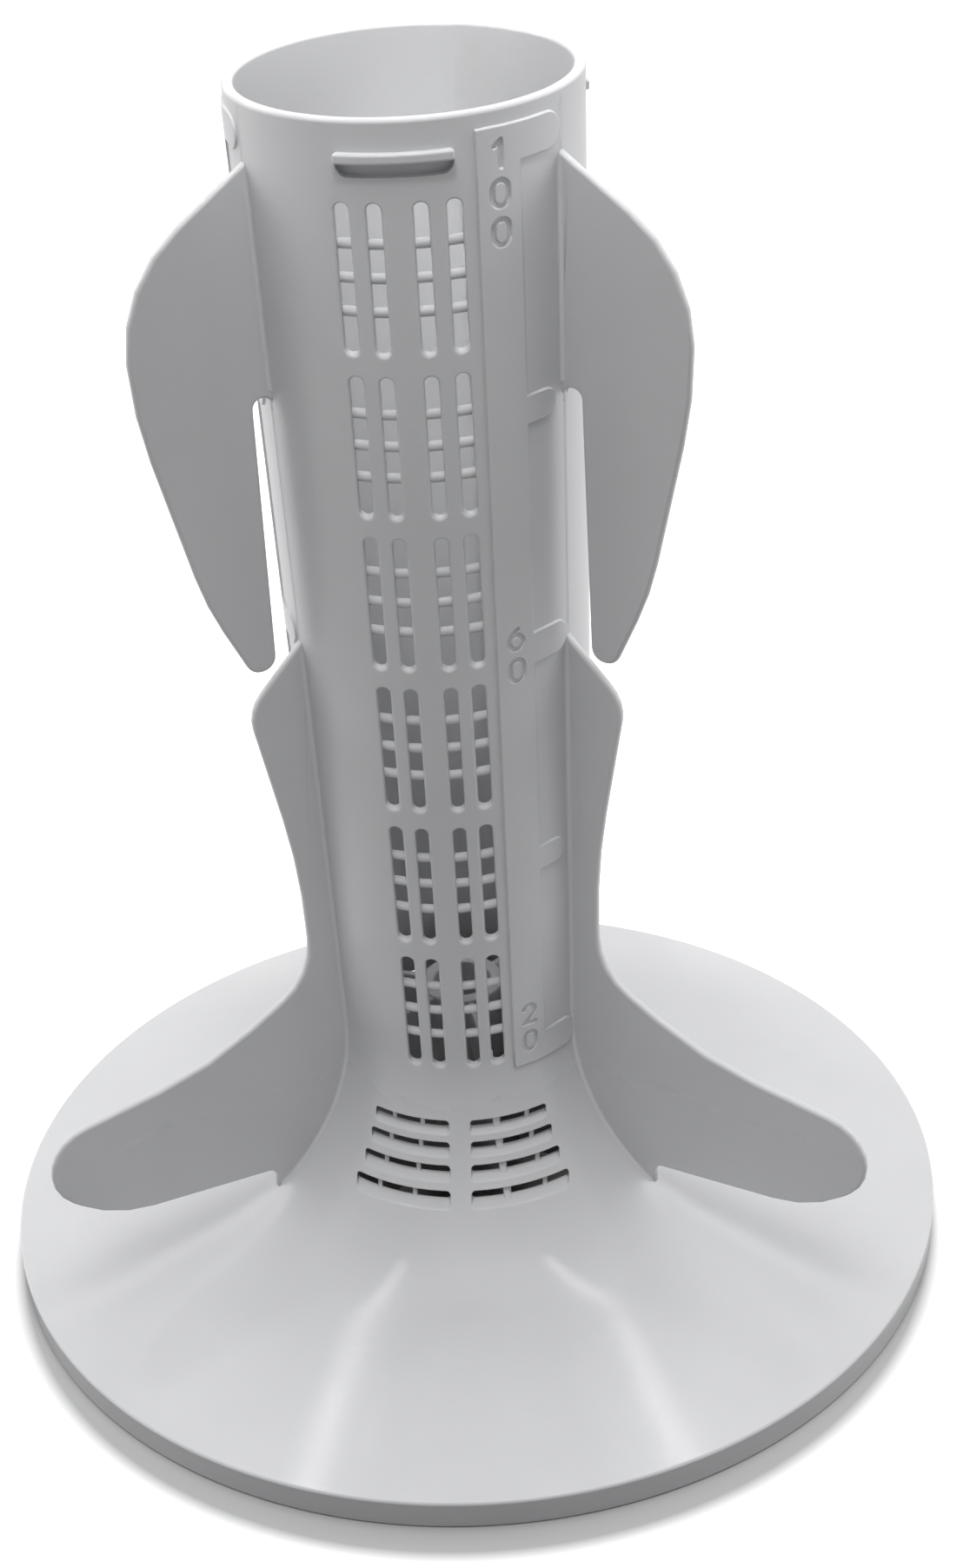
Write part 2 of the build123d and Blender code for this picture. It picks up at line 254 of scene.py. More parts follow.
class Mesh:
    """Points with normals, and faces, gathered in millimetres."""

    def __init__(self):
        self.points = []
        self.normals = []
        self.faces = []

    def add(self, point, normal):
        self.points.append(Vector(point))
        self.normals.append(Vector(normal).normalized())
        return len(self.points) - 1

    def skin_point(self, bearing, run, depth=0.0, lean=None, side=1.0):
        """A point on the wall. lean tips its normal, as (along the bearing, down the run)."""
        r, z, nr, nz = outline(run)
        b = radians(bearing)
        out = around(b, nr, nz)
        normal = out * side
        if lean:
            across = Vector((cos(b), sin(b), 0.0))
            down = across.cross(out)
            if down.z > 0:
                down.negate()
            normal = out + across * lean[0] + down * lean[1]
        return self.add(around(b, r - depth * nr, z - depth * nz), normal)

    def loft(self, ring, other, closed=True):
        """Quads between two rings of the same length."""
        count = len(ring)
        for i in range(count if closed else count - 1):
            j = (i + 1) % count
            self.faces.append((ring[i], ring[j], other[j], other[i]))

    def tube(self, rings):
        """Quads between each ring and the next."""
        for ring, other in zip(rings, rings[1:]):
            self.loft(ring, other)

    def cap(self, ring):
        self.faces.append(tuple(ring))

    def turned_copies(self, count):
        """Copies of everything, evenly spaced round the axis."""
        points, normals, faces = self.points, self.normals, self.faces
        self.points, self.normals, self.faces = [], [], []
        for step in range(count):
            turn = Matrix.Rotation(2 * pi * step / count, 3, "Z")
            base = len(self.points)
            self.points += [turn @ p for p in points]
            self.normals += [turn @ n for n in normals]
            self.faces += [tuple(base + i for i in face) for face in faces]

    def build(self, name):
        """One Blender object: points that meet are joined, and each corner keeps its own normal."""
        where, index, kept = {}, [], []
        for p in self.points:
            key = (round(p.x * 2000), round(p.y * 2000), round(p.z * 2000))
            if key not in where:
                where[key] = len(kept)
                kept.append(p * MM)
            index.append(where[key])
        faces, corners = [], []
        for face in self.faces:
            turned = [index[i] for i in face]
            clean = [k for k in range(len(turned)) if turned[k] != turned[k - 1]]
            if len(clean) < 3 or len({turned[k] for k in clean}) < len(clean):
                continue
            ids = [face[k] for k in clean]
            p = [self.points[i] for i in ids]
            flat = sum((a.cross(b) for a, b in zip(p, p[1:] + p[:1])), Vector())
            mean = sum((self.normals[i] for i in ids), Vector())
            if flat.dot(mean) < 0:
                ids.reverse()
            faces.append([index[i] for i in ids])
            corners += [self.normals[i] for i in ids]
        data = bpy.data.meshes.new(name)
        data.from_pydata(kept, [], faces)
        data.polygons.foreach_set("use_smooth", [True] * len(data.polygons))
        if len(data.loops) == len(corners):
            data.normals_split_custom_set(corners)
        data.update()
        piece = bpy.data.objects.new(name, data)
        bpy.context.collection.objects.link(piece)
        return piece


def inside(point, loop):
    """Whether a flat point is inside a closed loop."""
    x, y = point
    hit = False
    for (x1, y1), (x2, y2) in zip(loop, loop[1:] + loop[:1]):
        if (y1 > y) != (y2 > y) and x < (x2 - x1) * (y - y1) / (y2 - y1) + x1:
            hit = not hit
    return hit


def box_of(loop):
    xs, ys = zip(*loop)
    return min(xs), min(ys), max(xs), max(ys)


def smooth_loop(corners, step=1.0):
    """Points and outward directions round a shape of straight runs and arcs.

    corners: (x, y, rounding) in order, anticlockwise."""
    ring = []
    count = len(corners)
    for i, (x, y, rounding) in enumerate(corners):
        here = Vector((x, y))
        before = (here - Vector(corners[i - 1][:2])).normalized()
        after = (Vector(corners[(i + 1) % count][:2]) - here).normalized()
        turn = -before.angle_signed(after)
        if rounding <= 0 or abs(turn) < 1e-4:
            a, b = Vector((before.y, -before.x)), Vector((after.y, -after.x))
            ring.append((here, (a + b) / (1.0 + a.dot(b))))
            continue
        start = here - before * (rounding * tan(abs(turn) / 2))
        sign = 1.0 if turn > 0 else -1.0
        centre = start + Vector((-before.y, before.x)) * rounding * sign
        steps = max(2, ceil(abs(turn) / radians(18.0)), ceil(rounding * abs(turn) / (4 * step)))
        for k in range(steps + 1):
            spoke = start - centre
            spoke.rotate(Matrix.Rotation(turn * k / steps, 2))
            ring.append((centre + spoke, spoke.normalized() * sign))
    dense = []
    for i, (here, out) in enumerate(ring):
        there = ring[(i + 1) % len(ring)][0]
        gap = (there - here).length
        if gap < 1e-6:
            continue
        dense.append((here, out))
        pieces = max(1, round(gap / step)) if gap > 1.5 * step else 1
        side = Vector((there.y - here.y, here.x - there.x)).normalized()
        for k in range(1, pieces):
            dense.append((here.lerp(there, k / pieces), side))
    return dense


def stretch_of(bearing, run):
    """Flat place of a bearing and run, near the real distances on the column."""
    return (bearing * STRETCH, run)


# Openings


def slot_places():
    """Middle of every upright slot of one face, as x and z."""
    middles = [SLOT_TOP - row * SLOT_PITCH - SLOT_LENGTH / 2 for row in range(SLOT_ROWS)]
    return [(radius_at(z) * sin(radians(bearing)), z) for z in middles for bearing in SLOT_BEARINGS]


def slot_loops():
    """Upright slots of one face, as loops of places (x, z) with their outward directions."""
    w, h = SLOT_WIDTH / 2, SLOT_LENGTH / 2
    return [smooth_loop([(x - w, z - h, w), (x + w, z - h, w), (x + w, z + h, w), (x - w, z + h, w)], 6.0)
            for x, z in slot_places()]


def grille_loops():
    """Level openings of the low grille of one face, the same way."""
    loops = []
    for row in range(GRILLE_ROWS):
        z = GRILLE_TOP - row * GRILLE_PITCH
        near, far = GRILLE_POST / 2, radius_at(z) * sin(radians(GRILLE_END))
        h, c = GRILLE_OPENING / 2, GRILLE_CORNER
        for left, right in ((-far, -near), (near, far)):
            corners = [(left, z - h, c), (right, z - h, c), (right, z + h, c), (left, z + h, c)]
            loops.append(smooth_loop(corners, 2.2))
    return loops


def wall_place(x, z, depth):
    """Point, outward normal and bearing of a place in the wall, given as seen from the front."""
    outer, inner = radius_at(z), radius_at(z, WALL)
    radius = outer + (inner - outer) * depth / WALL
    b = asin(x / radius)
    _, _, nr, nz = outline(run_at(z, depth))
    return around(b, radius, z), around(b, nr, nz), degrees(b)


def opening_ring(mesh, loop, grow, depth, angle, lip=1.0, foot=0.0, sill=0.0):
    """One ring on the side of an opening, with its flat places. Its normal is the wall's own at an angle
    of 0, faces across the opening at 90 and backwards at 180. foot widens the rounding along the lower
    edge, and sill is how far that edge drops outside and rises inside."""
    ring, flat = [], []
    for corner, out in loop:
        low = max(0.0, -out.y)
        widen = 1 + foot / lip * low * low
        x, z = corner + out * (grow * widen + sill * low * (1 - 2 * depth / WALL))
        a = radians(angle * (1 - degrees(atan2(2 * sill, WALL)) / 90 * low) if angle <= 90 else angle)
        place, normal, bearing = wall_place(x, z, depth * widen if depth < lip + 0.01 else depth)
        ring.append(mesh.add(place, normal * cos(a) - Vector((out.x, 0.0, out.y)) * sin(a)))
        flat.append(stretch_of(bearing, run_at(z, depth)))
    return flat, ring


def opening(mesh, loop, lip, foot=0.0, sill=0.0):
    """The sides of one opening from the outside to the back. Returns the outer and the inner loop with
    their flat places, for the two walls' own meshes."""
    stages = [(lip * (1 - sin(radians(t))), lip * (1 - cos(radians(t))), t) for t in (0, 45, 90)]
    stages += [(0.0, WALL - BACK_EDGE, 90), (BACK_EDGE, WALL, 180)]
    made = [opening_ring(mesh, loop, *stage, lip, foot, sill) for stage in stages]
    mesh.tube([ring for _, ring in made])
    return made[0], made[-1]


def pocket(mesh):
    """The undercut in the wall below the ledge. Returns its outer loop for the wall's own mesh."""
    low, high, c = LEDGE_LOW - POCKET_HEIGHT, LEDGE_LOW + 2 * POCKET_EDGE, POCKET_CORNER
    loop = smooth_loop([(-POCKET_HALF, low, c), (POCKET_HALF, low, c), (POCKET_HALF, high, 0),
                        (-POCKET_HALF, high, 0)], 2.5)
    stages = ((POCKET_EDGE, 0.0, 0), (0.0, POCKET_EDGE, 90), (0.0, POCKET_DEPTH, 90), (0.0, POCKET_DEPTH, 0))
    made = [opening_ring(mesh, loop, *stage) for stage in stages]
    mesh.tube([ring for _, ring in made[:3]])
    flat, back = made[3]
    _, _, triangles, origins, _, _ = delaunay_2d_cdt(
        [Vector(p) for p in flat], [(i, (i + 1) % len(flat)) for i in range(len(flat))], [], 1, 1e-5)
    mesh.faces += [tuple(back[origins[i][0]] for i in tri) for tri in triangles]
    return made[0]


def wall_mesh(mesh, side, depth, top, foot, bearings, holes, loops, shape, step, every):
    """One side of the wall between two runs, as triangles round its openings. Returns its last row.

    holes are loops with points already made, loops are further lines to follow, and shape gives the
    offset of a point in depth. Free rows lie a step apart, with points at every so many degrees."""
    flat, ids, edges = [], [], []

    def line(places, numbers, closed):
        base = len(flat)
        flat.extend(places)
        ids.extend(numbers)
        count = len(places)
        edges.extend((base + i, base + (i + 1) % count) for i in range(count if closed else count - 1))

    for places, numbers in holes + loops:
        line(places, numbers, True)
    rows = max(2, round((foot - top) / step))
    levels = [top + (foot - top) * k / rows for k in range(rows + 1)]
    edge_top = [mesh.skin_point(b, top, depth + shape(b, top), side=side) for b in bearings]
    edge_foot = [mesh.skin_point(b, foot, depth + shape(b, foot), side=side) for b in bearings]
    line([stretch_of(b, top) for b in bearings], edge_top, False)
    line([stretch_of(b, foot) for b in bearings], edge_foot, False)
    for end in (0, -1):
        b = bearings[end]
        inner = [mesh.skin_point(b, s, depth + shape(b, s), side=side) for s in levels[1:-1]]
        line([stretch_of(b, s) for s in levels], [edge_top[end]] + inner + [edge_foot[end]], False)
    boxes = [(box_of(places), places) for places, _ in holes]
    cells = {}
    for places, _ in holes + loops:
        for a, b in zip(places, places[1:] + places[:1]):
            pieces = max(1, ceil(hypot(b[0] - a[0], b[1] - a[1]) / 0.8))
            for k in range(pieces):
                p = (a[0] + (b[0] - a[0]) * k / pieces, a[1] + (b[1] - a[1]) * k / pieces)
                cells.setdefault((int(p[0] // 2), int(p[1] // 2)), []).append(p)

    def clear(p, gap):
        for i in range(int((p[0] - gap) // 2), int((p[0] + gap) // 2) + 1):
            for j in range(int((p[1] - gap) // 2), int((p[1] + gap) // 2) + 1):
                if any(hypot(p[0] - q[0], p[1] - q[1]) < gap for q in cells.get((i, j), ())):
                    return False
        for (x0, y0, x1, y1), places in boxes:
            if x0 < p[0] < x1 and y0 < p[1] < y1 and inside(p, places):
                return False
        return True

    for row, s in enumerate(levels[1:-1]):
        for b in bearings[1:-1]:
            if abs(abs(b) - FACE_HALF) > 1.0 and (round(b) + row * every // 2) % every:
                continue
            p = stretch_of(b, s)
            if clear(p, 0.7):
                flat.append(p)
                ids.append(mesh.skin_point(b, s, depth + shape(b, s), side=side))
    out, _, triangles, origins, _, _ = delaunay_2d_cdt([Vector(p) for p in flat], edges, [], 0, 1e-5)
    numbers = []
    for place, source in zip(out, origins):
        if source:
            numbers.append(ids[source[0]])
        else:
            b, s = place.x / STRETCH, place.y
            numbers.append(mesh.skin_point(b, s, depth + shape(b, s), side=side))
    for tri in triangles:
        centre = sum((out[i] for i in tri), Vector((0.0, 0.0))) / 3
        if not any(x0 < centre.x < x1 and y0 < centre.y < y1 and inside(centre, places)
                   for (x0, y0, x1, y1), places in boxes):
            mesh.faces.append(tuple(numbers[i] for i in tri))
    return edge_foot


# Level strip


def strip_corners():
    """Corners of the raised panel and its flags, in flat millimetres, anticlockwise with run down."""
    def place(bearing, z):
        x, s = stretch_of(bearing, run_at(z))
        return x, -s

    corners = []
    for k, z in enumerate(reversed(FLAG_HEIGHTS)):
        long = (len(FLAG_HEIGHTS) - 1 - k) % 2 == 0
        bearing, width = FLAG_LONG if long else FLAG_SHORT
        low, high = z - width / 2, z + width / 2
        tip = bearing + width / 2 / STRETCH
        corners.append((*place(STRIP_RIGHT if k else STRIP_LEFT, low), 0.0))
        corners.append((*place(tip, low), width / 2))
        corners.append((*place(tip, high), width / 2))
        if k < len(FLAG_HEIGHTS) - 1:
            corners.append((*place(STRIP_RIGHT, high), 0.0))
        else:
            corners.append((*place(STRIP_LEFT, high), 0.4))
    return corners


def stroke_distance(p, path):
    """Distance from a point to a path of straight runs."""
    best = 1e9
    for a, b in zip(path, path[1:]):
        run = b - a
        t = max(0.0, min(1.0, (p - a).dot(run) / run.length_squared))
        best = min(best, (p - a - run * t).length)
    return best


def digit_path(digit):
    """Middle lines of a plain numeral, centred, with y up."""
    r = (NUMBER_WIDTH - NUMBER_STROKE) / 2
    h = (NUMBER_HEIGHT - NUMBER_STROKE) / 2

    def arc(cx, cy, rx, ry, first, last, steps=14):
        turn = [radians(first + (last - first) * k / steps) for k in range(steps + 1)]
        return [Vector((cx + rx * cos(t), cy + ry * sin(t))) for t in turn]

    return {
        "0": [arc(0, h - r, r, r, 0, 180) + arc(0, r - h, r, r, 180, 360) + [Vector((r, h - r))]],
        "1": [[Vector((0.5, -h)), Vector((0.5, h)), Vector((-1.5, h - 1.6))]],
        "2": [arc(0, h - r, r, r, 165, -25) + [Vector((-r, -h)), Vector((r, -h))]],
        "6": [arc(0, r - h, r, r, 180, 540, 24),
              arc(r + 1.0, r - h, 2 * r + 1.0, 2 * h - r, 180, 118, 10)],
    }[digit]


def contours(grid, level, x0, y0, step):
    """Closed lines where a grid of values passes a level."""
    value = [[v - level for v in row] for row in grid]
    nx, ny = len(value), len(value[0])
    links = {}

    def cross(i, j, k, l):
        a, b = value[i][j], value[k][l]
        t = a / (a - b)
        return Vector((x0 + (i + (k - i) * t) * step, y0 + (j + (l - j) * t) * step))

    spots = {}
    for i in range(nx - 1):
        for j in range(ny - 1):
            ring = ((i, j), (i + 1, j), (i + 1, j + 1), (i, j + 1))
            cuts = []
            for a, b in zip(ring, ring[1:] + ring[:1]):
                if (value[a[0]][a[1]] < 0) != (value[b[0]][b[1]] < 0):
                    key = (min(a, b), max(a, b))
                    spots[key] = cross(*key[0], *key[1])
                    cuts.append((key, value[a[0]][a[1]] < 0))
            for n, (key, low) in enumerate(cuts):
                if low:
                    links[key] = cuts[(n + 1) % len(cuts)][0]
    loops = []
    while links:
        first, key = next(iter(links.items()))
        loop = [first]
        del links[first]
        while key != first and key in links:
            loop.append(key)
            key = links.pop(key)
        loops.append([spots[k] for k in loop])
    return loops


def even(loop, step):
    """The loop again, with its points evenly spaced."""
    total = sum((b - a).length for a, b in zip(loop, loop[1:] + loop[:1]))
    count = max(8, round(total / step))
    gap = total / count
    points = []
    travelled, target = 0.0, 0.0
    for a, b in zip(loop, loop[1:] + loop[:1]):
        length = (b - a).length
        while target < travelled + length - 1e-9 and len(points) < count:
            points.append(a.lerp(b, (target - travelled) / length))
            target += gap
        travelled += length
    return points


def number_lines(digit):
    """Rings round a cut-in numeral, from its outer edge to its floor, and its distance field."""
    paths = digit_path(digit)

    def field(p):
        return min(stroke_distance(p, path) for path in paths) - NUMBER_STROKE / 2

    w, h = NUMBER_WIDTH / 2 + 1.0, NUMBER_HEIGHT / 2 + 1.0
    cell, spacing, nudge = 0.12, 0.7, 0.05
    grid = [[field(Vector((-w + i * cell, -h + j * cell))) for j in range(int(2 * h / cell))]
            for i in range(int(2 * w / cell))]
    lines = []
    for level, depth, lean in ((0.25, 0.0, 0.0), (0.05, 0.3, -2.0), (-0.12, 0.85, -2.0), (-0.32, 1.0, 0.0)):
        for found in contours(grid, level, -w, -h, cell):
            line = []
            for p in even(found, spacing):
                slope = Vector((field(p + Vector((nudge, 0))) - field(p - Vector((nudge, 0))),
                                field(p + Vector((0, nudge))) - field(p - Vector((0, nudge)))))
                line.append((p, slope.normalized() if slope.length > 1e-6 else Vector((1.0, 0.0))))
            lines.append((line, depth, lean))
    return lines, field


def strip_parts(mesh):
    """Loops of the raised panel and of its cut-in numbers, and the depth of any point among them."""
    panel = smooth_loop(strip_corners(), 7.0)
    loops = []

    def ring(line, grow, depth, lean, groove=0.0):
        flats, numbers = [], []
        for place, out in line:
            p = place + out * grow
            side = out.normalized()
            flats.append((p.x, -p.y))
            numbers.append(mesh.skin_point(p.x / STRETCH, -p.y, depth + groove * max(0.0, -side.x),
                                           (side.x * lean, -side.y * lean) if lean else None))
        loops.append((flats, numbers))
        return flats

    ring(panel, STRIP_EDGE + 0.6, 0.0, 0.0)
    ring(panel, STRIP_EDGE, 0.0, 0.0, STRIP_GROOVE)
    ring(panel, STRIP_EDGE * 0.4, -STRIP_RELIEF * 0.2, 2.2, STRIP_GROOVE)
    ring(panel, -STRIP_EDGE * 0.1, -STRIP_RELIEF * 0.85, 2.2)
    panel_flat = ring(panel, -STRIP_EDGE * 0.8, -STRIP_RELIEF, 0.0)
    made = {digit: number_lines(digit) for digit in sorted(set("".join(text for text, _ in NUMBERS)))}
    fields = []
    for text, first in NUMBERS:
        for place, digit in enumerate(text):
            z = first - place * NUMBER_PITCH
            centre = Vector(((STRIP_LEFT + STRIP_RIGHT) / 2 * STRETCH, -run_at(z)))
            lines, field = made[digit]
            for line, depth, lean in lines:
                moved = [(centre + p, out) for p, out in line]
                ring(moved, 0.0, -STRIP_RELIEF + NUMBER_DEPTH * depth, lean)
            fields.append((centre, field))
    box = box_of(panel_flat)

    def depth_of(bearing, run):
        x, s = stretch_of(bearing, run)
        if not (box[0] < x < box[2] and box[1] < s < box[3]) or not inside((x, s), panel_flat):
            return 0.0
        p = Vector((x, -s))
        for centre, field in fields:
            q = p - centre
            if abs(q.x) < NUMBER_WIDTH / 2 + 0.2 and abs(q.y) < NUMBER_HEIGHT / 2 + 0.2 and field(q) < -0.1:
                return -STRIP_RELIEF + NUMBER_DEPTH
        return -STRIP_RELIEF

    return loops, depth_of


# One face of the skin


def seam(bearing, run):
    """Lift of the parting line between two faces, which fades out at the rim and at the band."""
    if abs(abs(bearing) - FACE_HALF) > 1e-6:
        return 0.0
    rim, band = (run - 2.0) / (SEAM_FADE - 1.0), (SKIRT_END - SEAM_FADE - run) / SEAM_FADE
    return -SEAM_RELIEF * max(0.0, min(1.0, rim, band))


def sweep(mesh, bearings, profile):
    """Rows of quads round the axis. profile holds (radius, height, normal r, normal z)."""
    previous = None
    for r, z, nr, nz in profile:
        row = [mesh.add(around(b, r, z), around(b, nr, nz)) for b in map(radians, bearings)]
        if previous:
            mesh.loft(previous, row, closed=False)
        previous = row


def rounded(centre_r, centre_z, radius, first, last, steps):
    """Profile points round an arc, its angle measured from outward to up."""
    turn = [radians(first + (last - first) * k / steps) for k in range(steps + 1)]
    return [(centre_r + radius * cos(t), centre_z + radius * sin(t), cos(t), sin(t)) for t in turn]


def mirrored(profile, middle):
    """The profile again, turned over to the other side of a radius."""
    return [(2 * middle - r, z, -nr, nz) for r, z, nr, nz in profile]


def skin_rows(mesh, bearings, runs, depth, side, previous):
    """Rows down the wall with no openings, from the row before them."""
    for run in runs:
        row = [mesh.skin_point(b, run, depth + (seam(b, run) if side > 0 else 0.0), side=side)
               for b in bearings]
        mesh.loft(previous, row, closed=False)
        previous = row


def face_skin():
    """A third of the skin, with its slots, grille, pocket and level strip."""
    mesh = Mesh()
    bearings = sorted({float(b) for b in range(-60, 61)} | {SEAM_HALF - FACE_HALF, FACE_HALF - SEAM_HALF})
    openings = [opening(mesh, loop, LIP, LIP_FOOT) for loop in slot_loops()]
    openings += [opening(mesh, loop, GRILLE_LIP, 0.0, GRILLE_SILL) for loop in grille_loops()]
    outer = [first for first, _ in openings] + [pocket(mesh)]
    inner = [last for _, last in openings]

    # the two sides of the wall, round the openings
    loops, depth_of = strip_parts(mesh)
    top_out = RIM_ROUNDING * (1 + sin(TILT)) / cos(TILT)
    foot = run_at(ROWS_START)
    edge_foot = wall_mesh(mesh, 1.0, 0.0, top_out, foot, bearings, outer, loops,
                          lambda b, s: depth_of(b, s) + seam(b, s), OUTER_STEP, 2)
    inner_top = run_at(HEIGHT - SEAT_DEPTH, WALL)
    back_foot = wall_mesh(mesh, -1.0, WALL, inner_top, foot, bearings, inner, [],
                          lambda b, s: 0.0, INNER_STEP, 4)

    # rim and seat
    r, z, nr, nz = outline(top_out)
    seat_r, _, seat_nr, _ = outline(inner_top)
    seat_r -= WALL * seat_nr
    seat_z, arc_z = HEIGHT - SEAT_DEPTH, HEIGHT - RIM_ROUNDING
    profile = rounded(r - RIM_ROUNDING * nr, z - RIM_ROUNDING * nz, RIM_ROUNDING, -degrees(TILT), 90, 6)
    profile += mirrored(rounded(seat_r + RIM_ROUNDING, arc_z, RIM_ROUNDING, 90, 0, 6), seat_r + RIM_ROUNDING)
    profile += [(seat_r, seat_z + (arc_z - seat_z) * k / 4, -1.0, 0.0) for k in (3, 2, 1, 0)]
    sweep(mesh, bearings, profile)

    # flare, skirt and band outside, and the same inside
    cut = BAND_ROUNDING * tan((pi / 2 - FALL) / 2)
    last = SKIRT_END - cut
    flare_rows = [foot + (FLARE_END - foot) * k / 12 for k in range(1, 13)]
    skirt_rows = [FLARE_END + (last - FLARE_END) * k / 12 for k in range(1, 13)]
    skin_rows(mesh, bearings, flare_rows + skirt_rows, 0.0, 1.0, edge_foot)
    inner_r = BASE_RADIUS - BAND_WALL
    under_end = FLARE_END + (inner_r + WALL * sin(FALL) - SKIRT_START[0]) / cos(FALL)
    r, z, nr, nz = outline(under_end)
    profile = rounded(BASE_RADIUS - BAND_ROUNDING, BAND_HEIGHT - cut, BAND_ROUNDING, 90 - degrees(FALL), 0, 6)
    profile += rounded(BASE_RADIUS - FOOT_ROUNDING, FOOT_ROUNDING, FOOT_ROUNDING, 0, -90, 4)
    profile += mirrored(rounded(inner_r + FOOT_ROUNDING, FOOT_ROUNDING, FOOT_ROUNDING, -90, 0, 4),
                        inner_r + FOOT_ROUNDING)
    profile += [(r - WALL * nr, z - WALL * nz, -1.0, 0.0)]
    sweep(mesh, bearings, profile)
    under_rows = flare_rows[1::2] + [FLARE_END + (under_end - FLARE_END) * k / 5 for k in range(1, 6)]
    skin_rows(mesh, bearings, under_rows, WALL, -1.0, back_foot)
    return mesh


# Small parts of the moulding


def bar_between(mesh, sections, normals):
    """A closed solid lofted through sections, with flat ends."""
    rings = [[mesh.add(p, n) for p, n in zip(section, normal)] for section, normal in zip(sections, normals)]
    mesh.tube(rings)
    for section, beyond in ((sections[0], sections[1]), (sections[-1], sections[-2])):
        out = section[0] - beyond[0]
        mesh.cap([mesh.add(p, out) for p in section])


def wall_bar(mesh, rows, toward):
    """A small bar in the wall through rows of (x, z, depth, angle). Its normal is the wall's own at an
    angle of 0, and faces toward at 90."""
    sections, normals = [], []
    for row in rows:
        section, normal = [], []
        for x, z, depth, angle in row:
            place, out, _ = wall_place(x, z, depth)
            section.append(place)
            normal.append(out * cos(radians(angle)) + Vector(toward) * sin(radians(angle)))
        sections.append(section)
        normals.append(normal)
    bar_between(mesh, sections, normals)


def slot_bars(mesh):
    """The round-nosed bars in the back of every slot."""
    nose, reach = BAR_HEIGHT / 2, SLOT_WIDTH / 2 + 0.5
    profile = [(BAR_RECESS + nose * (1 - cos(radians(t))), nose * sin(radians(t)), t)
               for t in (-90, -60, -30, 0, 30, 60, 90)]
    profile += [(BAR_BACK, nose, 90), (BAR_BACK, -nose, -90)]
    for x, middle in slot_places():
        for z in (middle - BAR_SPACING, middle, middle + BAR_SPACING):
            wall_bar(mesh, [[(x + side * reach, z + dz, depth, t) for depth, dz, t in profile]
                            for side in (-1, 0, 1)], (0, 0, 1))


def grille_ribs(mesh):
    """The narrow uprights in the back of the level grille."""
    half, front, soft, reach = GRILLE_RIB_WIDTH / 2, GRILLE_RIB_RECESS, 0.5, GRILLE_OPENING / 2 + 0.4
    right = [(half - soft, front, 0), (half - soft * 0.3, front + soft * 0.3, 45),
             (half, front + soft, 90), (half, BAR_BACK, 90)]
    profile = [(-dx, depth, -t) for dx, depth, t in reversed(right)] + right
    for row in range(GRILLE_ROWS):
        z = GRILLE_TOP - row * GRILLE_PITCH
        radius = radius_at(z)
        for bearing in [side * b for side in (-1, 1) for b in GRILLE_RIBS]:
            x = radius * sin(radians(bearing))
            wall_bar(mesh, [[(x + dx, z + side * reach, depth, t) for dx, depth, t in profile]
                            for side in (-1, 0, 1)], (1, 0, 0))


def ledge(mesh):
    """The short rounded ledge under the rim."""
    r, soft = radius_at(LEDGE_LOW), LEDGE_ROUNDING
    foot, high, near, far = LEDGE_LOW, LEDGE_LOW + LEDGE_HEIGHT, r - 1.2, r + LEDGE_REACH
    section = smooth_loop([(near, foot, 0), (far, foot, soft), (far, high, soft), (near, high, 0)], 1.0)
    stations = []
    for t in (0, 30, 60, 90):
        a = radians(t)
        stations.append((-LEDGE_HALF + degrees(soft * (1 - cos(a)) / r), -soft * (1 - sin(a)), t, -1))
    middle = [(-LEDGE_HALF + 2 + k * (2 * LEDGE_HALF - 4) / 12, 0.0, 90, 1) for k in range(13)]
    ends = [(-b, grow, t, 1) for b, grow, t, _ in reversed(stations)]
    rings = []
    for bearing, grow, t, side in stations + middle + ends:
        b = radians(bearing)
        across = Vector((cos(b), sin(b), 0)) * side
        ring = []
        for place, out in section:
            p = place + out * grow
            normal = around(b, out.x, out.y) * sin(radians(t)) + across * cos(radians(t))
            ring.append(mesh.add(around(b, p.x, p.y), normal))
        rings.append(ring)
    mesh.tube(rings)
    mesh.cap(rings[0])
    mesh.cap(rings[-1])


def plate(mesh, loop, thickness, rounding, bearing):
    """An upright plate on a plane through the axis, its outline in radius and height, edges rounded."""
    b = radians(bearing)
    ahead = around(b, 1, 0)
    across = Vector((cos(b), sin(b), 0))
    half = thickness / 2
    stages = [(rounding * (1 - sin(radians(t))), half - rounding * (1 - cos(radians(t))), t)
              for t in (0, 22.5, 45, 67.5, 90)]
    stages += [(inset, -y, 180 - t) for inset, y, t in reversed(stages)]
    rings = []
    for inset, y, t in stages:
        ring = []
        for place, out in loop:
            p = place - out * inset
            face = ahead * out.x + Vector((0, 0, out.y))
            normal = face.normalized() * sin(radians(t)) + across * cos(radians(t))
            ring.append(mesh.add(ahead * p.x + across * y + Vector((0, 0, p.y)), normal))
        rings.append(ring)
    mesh.tube(rings)
    for ring, side in ((rings[0], 1), (rings[-1], -1)):
        mesh.cap([mesh.add(mesh.points[i], across * side) for i in ring])


def upper_vane_loop():
    """Outline of the leaf under the rim, anticlockwise, with the gap that parts it from the column."""
    top_root, gap_root = radius_at(UPPER_TOP), radius_at(UPPER_GAP_TOP)
    root_foot = UPPER_GAP_TOP - 1.5 * UPPER_GAP_ROUNDING
    corners = [(top_root, UPPER_TOP, 0), *UPPER_CORNERS,
               (UPPER_GAP_RADIUS, UPPER_GAP_TOP, UPPER_GAP_ROUNDING),
               (gap_root, UPPER_GAP_TOP, UPPER_GAP_ROUNDING), (gap_root, root_foot, 0),
               (gap_root - VANE_OVERLAP, root_foot, 0), (top_root - VANE_OVERLAP, UPPER_TOP, 0)]
    return smooth_loop(list(reversed(corners)), 5.0)


